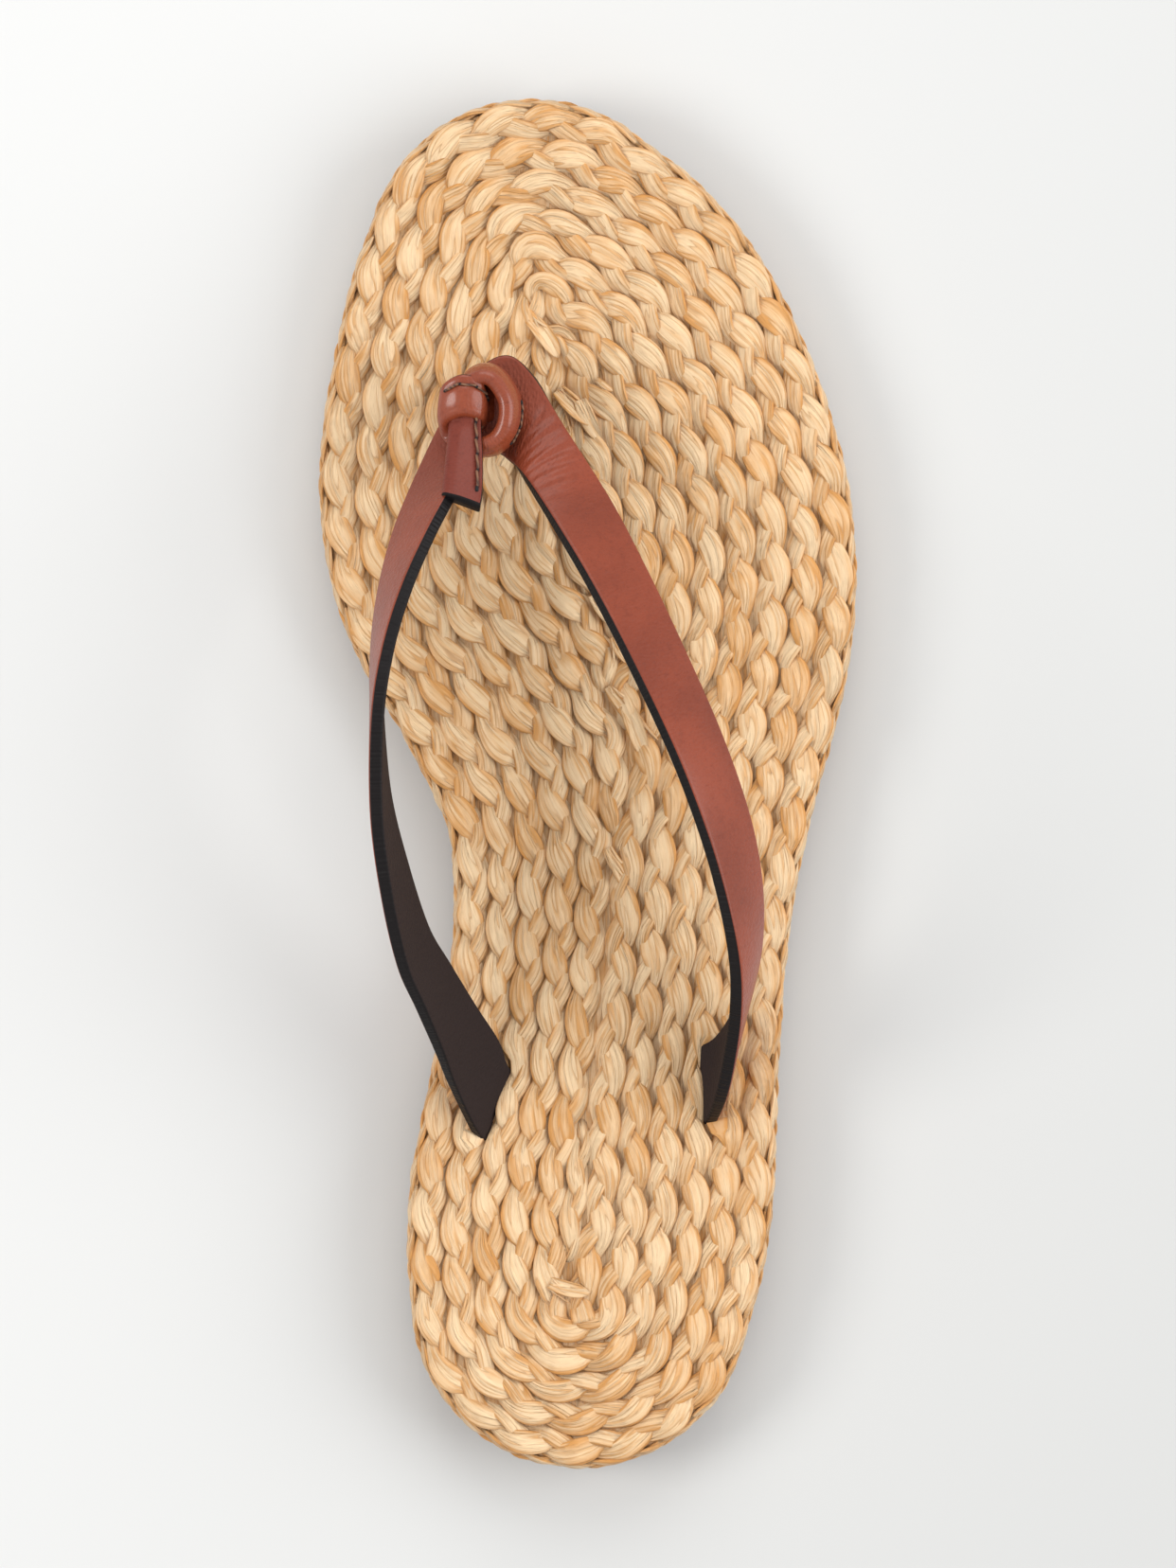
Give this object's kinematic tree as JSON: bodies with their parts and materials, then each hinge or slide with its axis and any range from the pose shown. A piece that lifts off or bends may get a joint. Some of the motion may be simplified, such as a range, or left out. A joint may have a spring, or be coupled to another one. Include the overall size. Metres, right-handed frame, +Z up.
{
  "type": "leather flip-flop",
  "caption": "Right flip-flop with a twisted V-shaped leather strap, a knotted toe thong and a footbed of sewn plaited raffia rows on a leather outsole.",
  "frame": {"origin": "on the floor under the middle of the sole's box", "axes": "+X to the outer side of the foot, +Y along the sole to the toe, +Z up"},
  "size_m": [0.099, 0.2518, 0.0533],
  "materials": {
    "sole_leather": "plain brown sole leather, matt, with a buffed edge",
    "raffia": "flat plaited natural raffia, pale straw to golden brown, satin",
    "strap_leather": "smooth red-brown calf leather with fine grain, semi-gloss, black painted edges and black-brown lining",
    "thong_leather": "the same leather folded and stitched, glossier"
  },
  "bodies": {
    "root": {"outsole": "sole_leather", "footbed_braid": "raffia", "edge_braid": "raffia", "strap": "strap_leather", "toe_thong": "thong_leather"}
  },
  "joints": []
}
